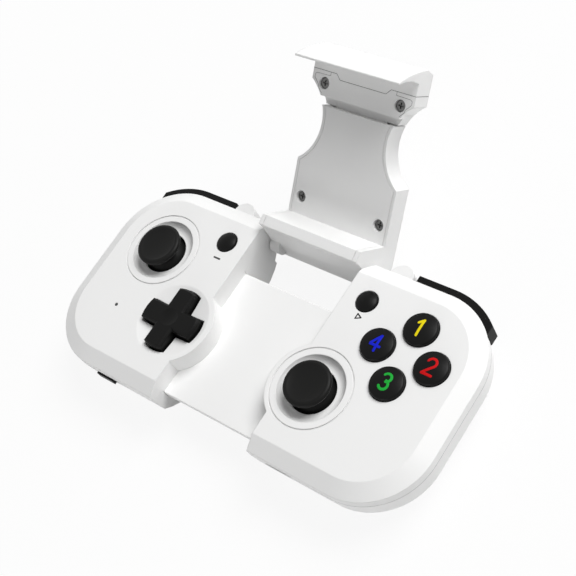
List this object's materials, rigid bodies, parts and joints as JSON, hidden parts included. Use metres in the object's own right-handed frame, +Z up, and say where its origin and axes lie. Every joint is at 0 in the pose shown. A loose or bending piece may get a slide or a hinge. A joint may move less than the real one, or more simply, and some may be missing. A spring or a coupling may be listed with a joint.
{
  "type": "mobile game controller",
  "caption": "Folding handheld game controller with two grips joined by a tray and a hinged, spring-jawed phone clamp; tilting sticks, direction pad, buttons and triggers.",
  "frame": {"origin": "Under the middle of the part in its rest pose, on the plane that the two grips stand on.", "axes": "+X runs from the left grip to the right grip as the player holds it, +Y away from the player, +Z up out of the buttons."},
  "size_m": [0.1422, 0.1206, 0.0569],
  "materials": {
    "shell_white": "fine satin moulding",
    "key_black": "satin",
    "stick_rubber": "matte",
    "gear_plastic": "satin",
    "steel": "satin",
    "screw_dark": "blackened",
    "board_green": "lacquered",
    "membrane_grey": "matte",
    "battery_wrap": "shrink film",
    "flex_film": "film",
    "lamp_clear": "clear"
  },
  "bodies": {
    "grips": {"left_top_casing": "shell_white", "left_bottom_casing": "shell_white", "right_top_casing": "shell_white", "right_bottom_casing": "shell_white", "tray": "shell_white", "tray_cover": "shell_white", "flex_cable": "flex_film", "left_board": "board_green", "right_board": "board_green", "battery": "battery_wrap", "left_casing_screws": "steel", "right_casing_screws": "steel", "charging_port": "steel", "switch_body": "gear_plastic", "lamp_pipe": "lamp_clear", "left_stick_base": "gear_plastic", "right_stick_base": "gear_plastic", "pad_membrane": "membrane_grey", "face_membrane": "membrane_grey", "menu_membranes": "membrane_grey", "left_bumper_pin": "steel", "right_bumper_pin": "steel", "left_trigger_pin": "steel", "right_trigger_pin": "steel", "shoulder_switches": "gear_plastic"},
    "clamp": {"clamp_back": "shell_white", "clamp_front": "shell_white", "clamp_screws": "screw_dark", "clamp_springs": "steel", "hinge_pins": "steel"},
    "jaw": {"jaw_tongue": "shell_white", "jaw_base": "shell_white", "jaw_lip": "shell_white", "jaw_screws": "screw_dark"},
    "power_knob": {"switch_knob": "key_black"},
    "left_click": {"left_stick_frame": "gear_plastic"},
    "left_rock": {"left_stick_rocker": "gear_plastic"},
    "left_stick": {"left_stick_shaft": "gear_plastic", "left_stick_cap": "stick_rubber"},
    "right_click": {"right_stick_frame": "gear_plastic"},
    "right_rock": {"right_stick_rocker": "gear_plastic"},
    "right_stick": {"right_stick_shaft": "gear_plastic", "right_stick_cap": "stick_rubber"},
    "pad_plate": {"pad_rocker": "gear_plastic"},
    "pad": {"pad_cross": "key_black"},
    "front_key": {"front_button": "key_black"},
    "right_key": {"right_button": "key_black"},
    "back_key": {"back_button": "key_black"},
    "left_key": {"left_button": "key_black"},
    "select_key": {"select_button": "key_black"},
    "start_key": {"start_button": "key_black"},
    "left_bumper_key": {"left_bumper": "key_black"},
    "right_bumper_key": {"right_bumper": "key_black"},
    "left_trigger_key": {"left_trigger": "key_black"},
    "right_trigger_key": {"right_trigger": "key_black"}
  },
  "joints": [
    {"name": "clamp_fold", "type": "hinge", "parent": "grips", "child": "clamp", "pos_m": [0, 0.00533, 0.0112], "axis": [1, 0, 0], "range_deg": [0, 139]},
    {"name": "jaw_slide", "type": "slide", "parent": "clamp", "child": "jaw", "axis": [0, 0.7547, 0.6561], "range_m": [0, 0.028], "stiffness_N_per_m": 60, "springref_m": -0.02},
    {"name": "power_slide", "type": "slide", "parent": "grips", "child": "power_knob", "axis": [1, 0, 0], "range_m": [0, 0.002]},
    {"name": "left_stick_click", "type": "slide", "parent": "grips", "child": "left_click", "axis": [0, 0, -1], "range_m": [0, 0.0004], "stiffness_N_per_m": 200, "springref_m": -0.006},
    {"name": "left_stick_fore", "type": "hinge", "parent": "left_click", "child": "left_rock", "pos_m": [-0.0484, -0.01547, 0.0141], "axis": [1, 0, 0], "range_deg": [-12, 12], "stiffness_Nm_per_rad": 0.015},
    {"name": "left_stick_side", "type": "hinge", "parent": "left_rock", "child": "left_stick", "pos_m": [-0.0484, -0.01547, 0.0141], "axis": [0, 1, 0], "range_deg": [-12, 12], "stiffness_Nm_per_rad": 0.015},
    {"name": "right_stick_click", "type": "slide", "parent": "grips", "child": "right_click", "axis": [0, 0, -1], "range_m": [0, 0.0004], "stiffness_N_per_m": 200, "springref_m": -0.006},
    {"name": "right_stick_fore", "type": "hinge", "parent": "right_click", "child": "right_rock", "pos_m": [0.028, -0.03537, 0.0141], "axis": [1, 0, 0], "range_deg": [-12, 12], "stiffness_Nm_per_rad": 0.015},
    {"name": "right_stick_side", "type": "hinge", "parent": "right_rock", "child": "right_stick", "pos_m": [0.028, -0.03537, 0.0141], "axis": [0, 1, 0], "range_deg": [-12, 12], "stiffness_Nm_per_rad": 0.015},
    {"name": "pad_fore", "type": "hinge", "parent": "grips", "child": "pad_plate", "pos_m": [-0.028, -0.03537, 0.01315], "axis": [1, 0, 0], "range_deg": [-3.5, 3.5], "stiffness_Nm_per_rad": 0.05},
    {"name": "pad_side", "type": "hinge", "parent": "pad_plate", "child": "pad", "pos_m": [-0.028, -0.03537, 0.0158], "axis": [0, 1, 0], "range_deg": [-3.5, 3.5], "stiffness_Nm_per_rad": 0.05},
    {"name": "front_press", "type": "slide", "parent": "grips", "child": "front_key", "axis": [0, 0, -1], "range_m": [0, 0.0012], "stiffness_N_per_m": 120, "springref_m": -0.004},
    {"name": "right_press", "type": "slide", "parent": "grips", "child": "right_key", "axis": [0, 0, -1], "range_m": [0, 0.0012], "stiffness_N_per_m": 120, "springref_m": -0.004},
    {"name": "back_press", "type": "slide", "parent": "grips", "child": "back_key", "axis": [0, 0, -1], "range_m": [0, 0.0012], "stiffness_N_per_m": 120, "springref_m": -0.004},
    {"name": "left_press", "type": "slide", "parent": "grips", "child": "left_key", "axis": [0, 0, -1], "range_m": [0, 0.0012], "stiffness_N_per_m": 120, "springref_m": -0.004},
    {"name": "select_press", "type": "slide", "parent": "grips", "child": "select_key", "axis": [0, 0, -1], "range_m": [0, 0.0007], "stiffness_N_per_m": 120, "springref_m": -0.004},
    {"name": "start_press", "type": "slide", "parent": "grips", "child": "start_key", "axis": [0, 0, -1], "range_m": [0, 0.0007], "stiffness_N_per_m": 120, "springref_m": -0.004},
    {"name": "left_bumper_press", "type": "hinge", "parent": "grips", "child": "left_bumper_key", "pos_m": [-0.033, 0.00663, 0.0147], "axis": [0, 0, 1], "range_deg": [0, 1.6], "stiffness_Nm_per_rad": 0.04, "springref_deg": -22.92},
    {"name": "right_bumper_press", "type": "hinge", "parent": "grips", "child": "right_bumper_key", "pos_m": [0.033, 0.00663, 0.0147], "axis": [0, 0, -1], "range_deg": [0, 1.6], "stiffness_Nm_per_rad": 0.04, "springref_deg": -22.92},
    {"name": "left_trigger_pull", "type": "hinge", "parent": "grips", "child": "left_trigger_key", "pos_m": [-0.04515, 0.00293, 0.0082], "axis": [-1, 0, 0], "range_deg": [0, 8], "stiffness_Nm_per_rad": 0.01, "springref_deg": -34.38},
    {"name": "right_trigger_pull", "type": "hinge", "parent": "grips", "child": "right_trigger_key", "pos_m": [0.04515, 0.00293, 0.0082], "axis": [-1, 0, 0], "range_deg": [0, 8], "stiffness_Nm_per_rad": 0.01, "springref_deg": -34.38}
  ]
}
